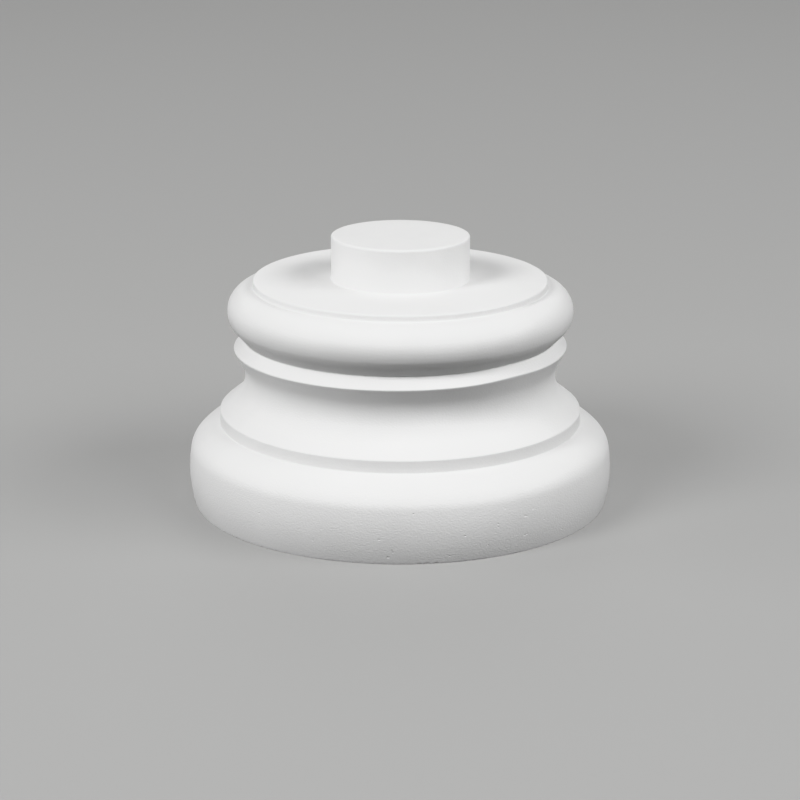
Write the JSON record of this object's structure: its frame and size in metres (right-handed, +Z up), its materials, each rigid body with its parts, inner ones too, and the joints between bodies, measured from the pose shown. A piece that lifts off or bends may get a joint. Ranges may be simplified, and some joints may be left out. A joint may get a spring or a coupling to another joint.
{
  "type": "column base",
  "caption": "Round Attic column base: a large and a small torus with a hollow between them, a flat seat for the shaft and a round locating spigot on top.",
  "frame": {"origin": "centre of the flat underside", "axes": "+Z up along the axis of turning, -Y towards the camera of the picture"},
  "size_m": [0.352, 0.352, 0.223],
  "materials": {
    "primer": "matte white factory primer on a rigid foam moulding, fine orange-peel grain with a few pinholes"
  },
  "bodies": {
    "root": {"column_base": "primer"}
  },
  "joints": []
}
